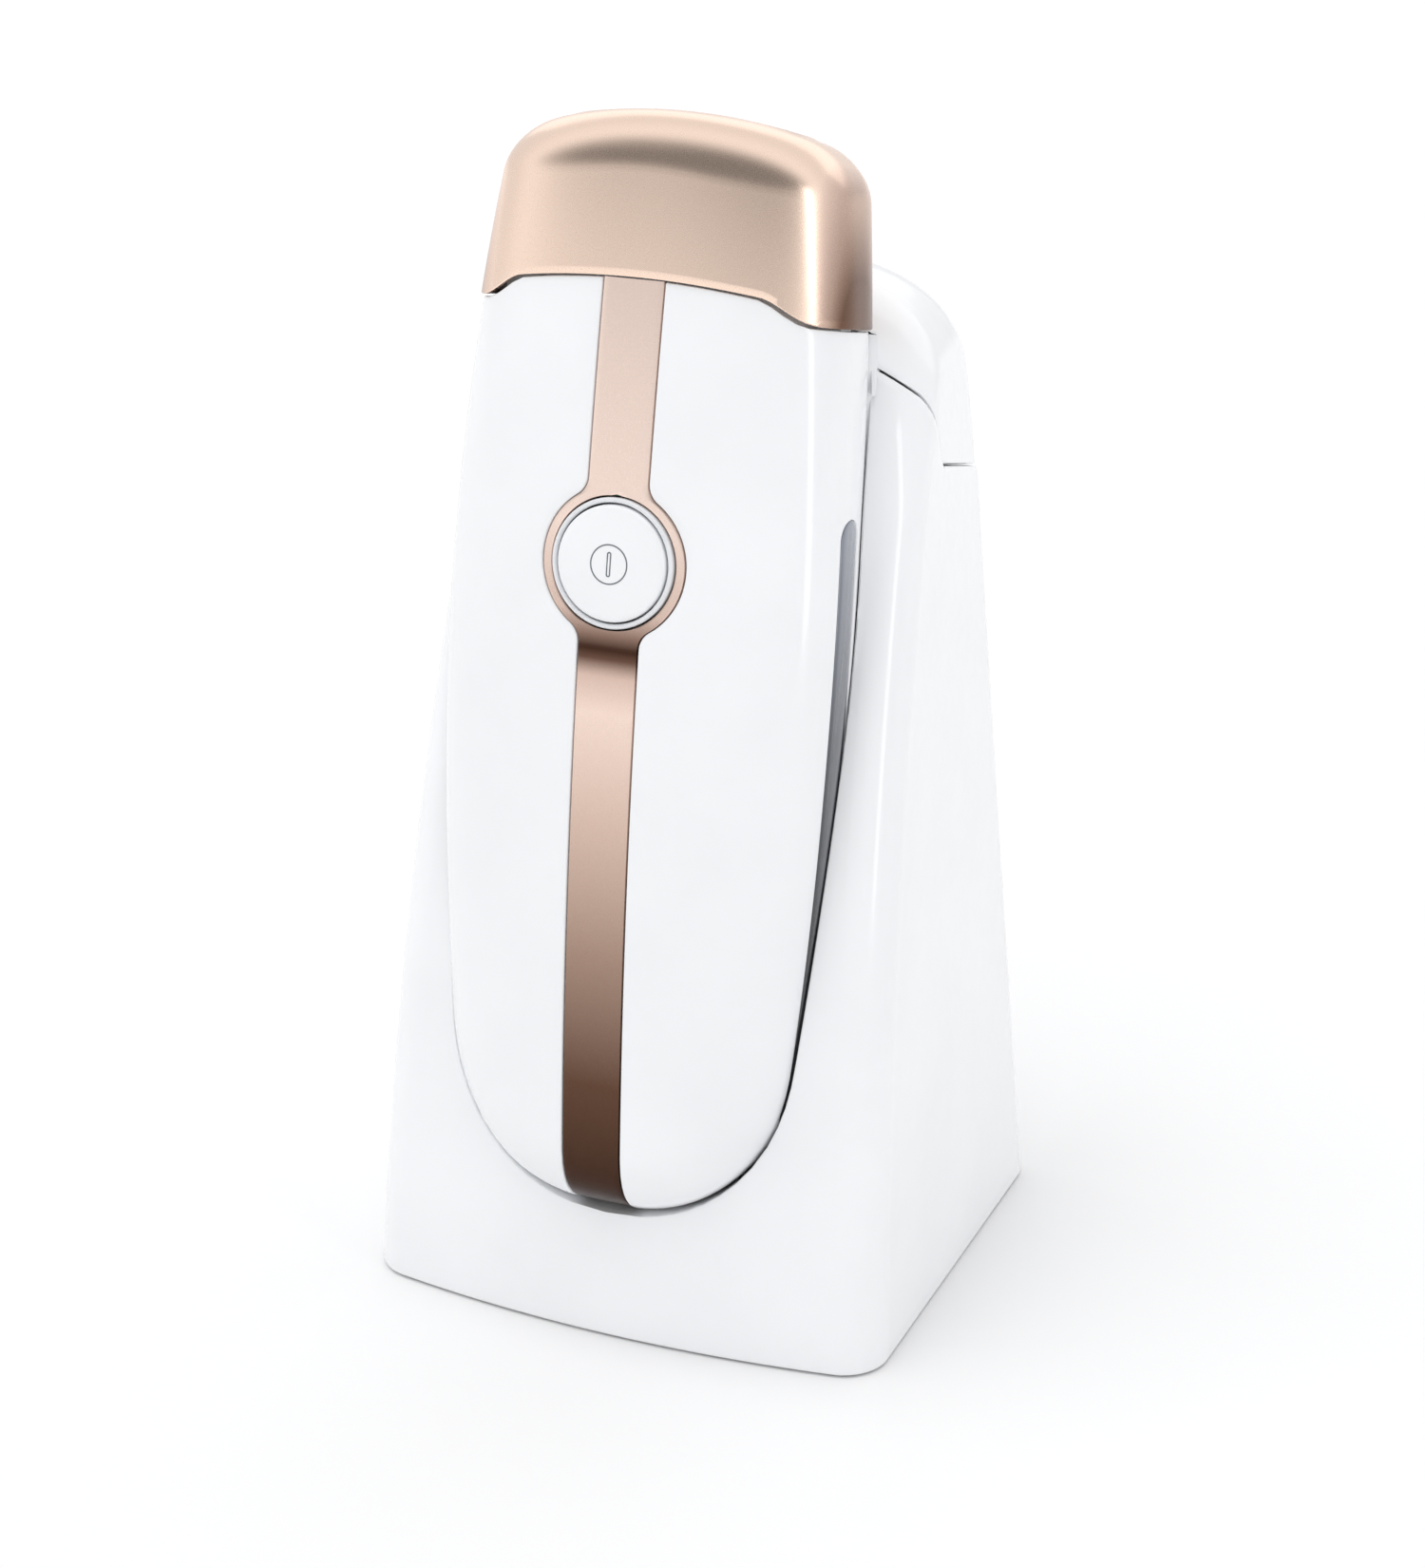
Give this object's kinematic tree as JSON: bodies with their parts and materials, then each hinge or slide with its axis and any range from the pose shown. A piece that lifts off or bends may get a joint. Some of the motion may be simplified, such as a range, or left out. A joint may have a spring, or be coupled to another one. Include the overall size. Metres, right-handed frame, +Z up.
{
  "type": "ipl hair remover",
  "caption": "Cordless light-pulse hair remover with a pull-off cap, standing upright in a tapered white charging stand.",
  "frame": {"origin": "on the table under the middle of the object's box, below the stand", "axes": "+Z up, -Y towards the user, the side with the button; +X to the right as the user sees it"},
  "size_m": [0.106, 0.103, 0.2263],
  "materials": {
    "white_shell": "polished white moulded plastic",
    "rose_metallic": "rose gold metallic lacquer on plastic, fine satin grain",
    "smoked_window": "polished smoked plastic, nearly black",
    "clear_ring": "clear polished plastic light guide",
    "clear_glass": "clear polished glass",
    "grey_plastic": "fine moulded texture",
    "black_plastic": "fine moulded texture",
    "rubber_feet": "matte",
    "aluminium": "bright",
    "steel_screw": "zinc plated",
    "gold_contact": "gold plated",
    "circuit_board": "green solder mask",
    "cell_wrap": "shrink-wrap sleeve"
  },
  "bodies": {
    "stand": {"stand_body": "white_shell", "stand_top_cover": "white_shell", "base_plate": "grey_plastic", "base_screw_1": "steel_screw", "base_screw_2": "steel_screw", "base_screw_3": "steel_screw", "base_screw_4": "steel_screw", "foot_1": "rubber_feet", "foot_2": "rubber_feet", "foot_3": "rubber_feet", "foot_4": "rubber_feet", "contact_block": "black_plastic", "contact_pin_left": "gold_contact", "contact_pin_right": "gold_contact", "inlet_socket": "black_plastic", "dock_lead": "black_plastic"},
    "handset": {"front_shell": "white_shell", "rear_shell": "white_shell", "accent_stripe": "rose_metallic", "side_window_left": "smoked_window", "side_window_right": "smoked_window", "handset_screw_1": "steel_screw", "handset_screw_2": "steel_screw", "handset_screw_3": "steel_screw", "handset_screw_4": "steel_screw", "button_ring": "clear_ring", "button_switch": "black_plastic", "head_collar": "white_shell", "head_housing": "white_shell", "treatment_frame": "grey_plastic", "skin_sensor_1": "gold_contact", "skin_sensor_2": "gold_contact", "skin_sensor_3": "gold_contact", "skin_sensor_4": "gold_contact", "filter_glass": "clear_glass", "reflector": "aluminium", "flash_lamp": "clear_glass", "battery_cell_left": "cell_wrap", "battery_cell_right": "cell_wrap", "charge_pad_left": "gold_contact", "charge_pad_right": "gold_contact", "main_capacitor": "black_plastic", "power_board": "circuit_board", "control_board": "circuit_board", "fan_frame": "black_plastic", "heat_sink": "aluminium"},
    "cap": {"protective_cap": "rose_metallic"},
    "button": {"power_button": "white_shell"},
    "fan": {"fan_rotor": "black_plastic"}
  },
  "joints": [
    {"name": "handset_lift", "type": "slide", "parent": "stand", "child": "handset", "axis": [0, -0.9659, 0.2588], "range_m": [0, 0.08]},
    {"name": "cap_pull", "type": "slide", "parent": "handset", "child": "cap", "axis": [0, 0.2336, 0.9723], "range_m": [0, 0.045]},
    {"name": "button_press", "type": "slide", "parent": "handset", "child": "button", "axis": [0, 0.9862, -0.1657], "range_m": [0, 0.0008], "stiffness_N_per_m": 1500, "springref_m": -0.0004},
    {"name": "fan_spin", "type": "hinge", "parent": "handset", "child": "fan", "pos_m": [0.014, -0.01593, 0.13125], "axis": [0, -0.9891, 0.1472], "continuous": true}
  ]
}
